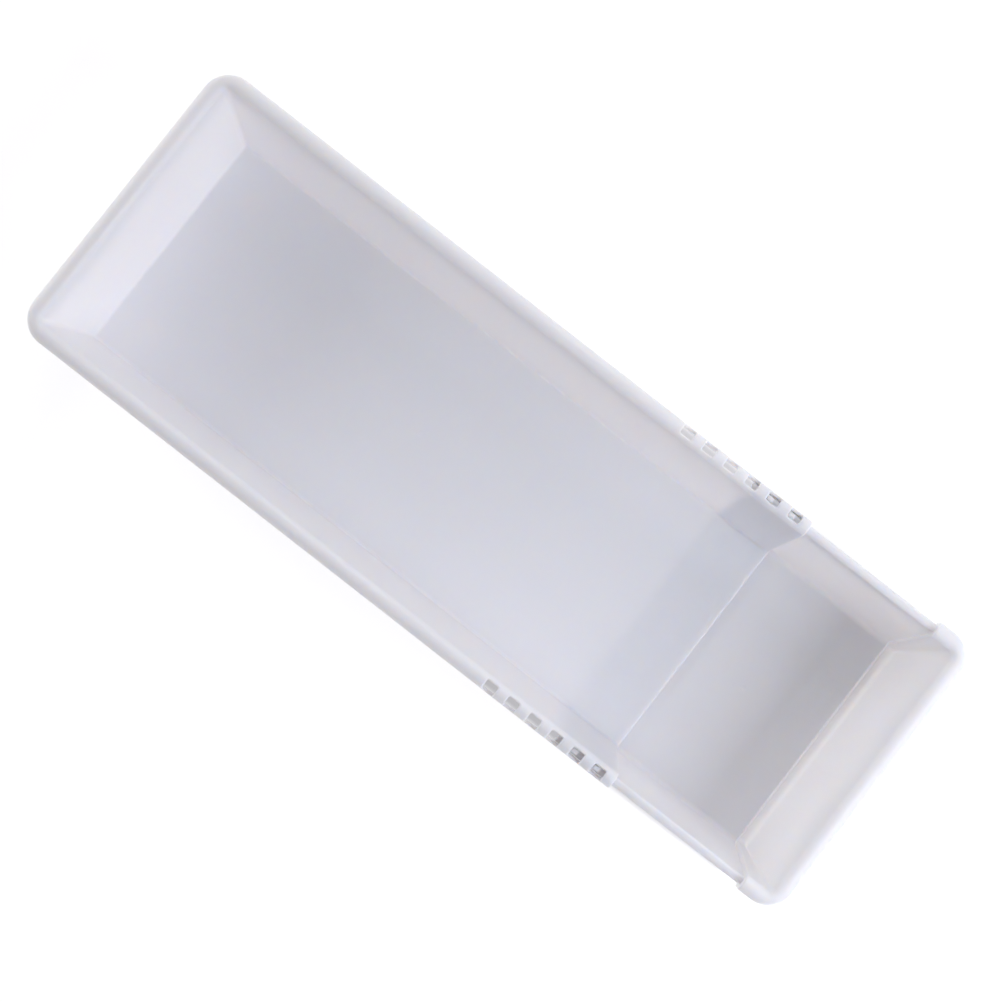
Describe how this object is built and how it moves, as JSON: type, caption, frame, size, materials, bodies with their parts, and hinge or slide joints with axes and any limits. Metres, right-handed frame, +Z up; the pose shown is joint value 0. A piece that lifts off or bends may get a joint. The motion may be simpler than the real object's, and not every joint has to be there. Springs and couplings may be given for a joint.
{
  "type": "extendable counting tray",
  "caption": "Open, rimmed plastic tray that telescopes: a short lower tray with an end cap slides under a long upper tray with notched rims.",
  "frame": {"origin": "on the table under the middle of the tray, drawn out as at rest", "axes": "+X along the tray towards the lower tray's end cap, +Y across it, +Z up out of the open side"},
  "size_m": [0.283, 0.099, 0.05],
  "materials": {
    "white_polypropylene": "satin, slightly translucent"
  },
  "bodies": {
    "upper_tray_body": {"upper_tray": "white_polypropylene"},
    "lower_tray_body": {"lower_tray": "white_polypropylene"}
  },
  "joints": [
    {"name": "extension_slide", "type": "slide", "parent": "upper_tray_body", "child": "lower_tray_body", "axis": [1, 0, 0], "range_m": [-0.0475, 0]}
  ]
}
